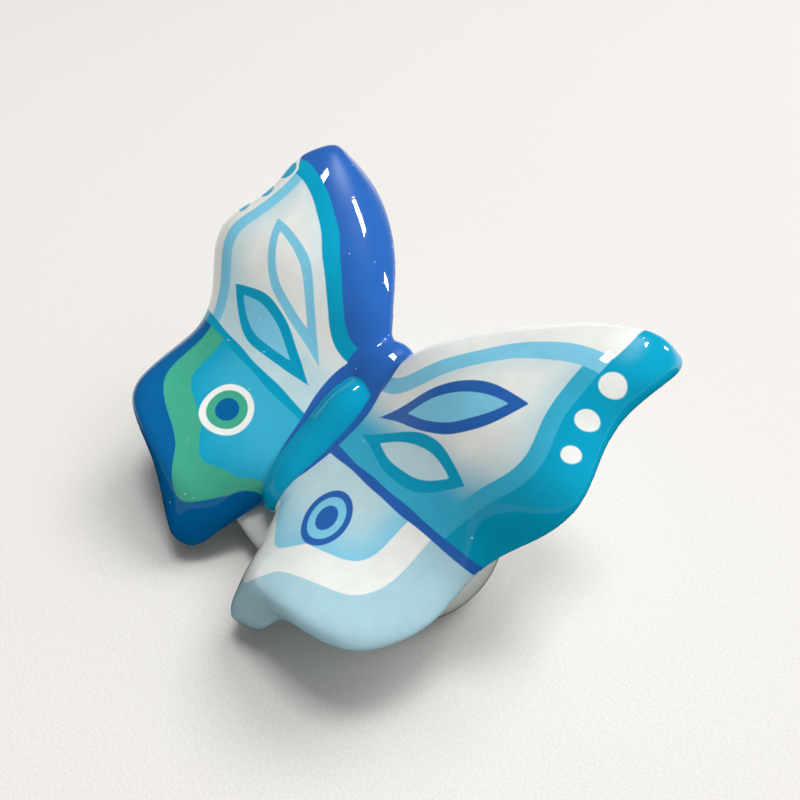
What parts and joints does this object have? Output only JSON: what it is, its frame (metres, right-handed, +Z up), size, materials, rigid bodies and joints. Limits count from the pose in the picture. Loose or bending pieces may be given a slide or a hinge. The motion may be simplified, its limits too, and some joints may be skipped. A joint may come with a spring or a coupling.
{
  "type": "butterfly ornament",
  "caption": "Glazed ceramic butterfly ornament with thick puffy wings, a raised roll body and a domed head, perched nose up on a white pebble foot with a felt pad.",
  "frame": {"origin": "on the table, under the middle of the foot, on the felt pad's lower face", "axes": "+X to the butterfly's right wing, +Y towards the head, +Z up"},
  "size_m": [0.1088, 0.0726, 0.0647],
  "materials": {
    "wing_glaze": "glossy, hand painted",
    "abdomen_glaze": "glossy teal",
    "head_glaze": "glossy royal blue",
    "foot_glaze": "glossy white",
    "felt": "felt"
  },
  "bodies": {
    "root": {"left_wing": "wing_glaze", "right_wing": "wing_glaze", "abdomen": "abdomen_glaze", "head": "head_glaze", "foot": "foot_glaze", "felt_pad": "felt"}
  },
  "joints": []
}
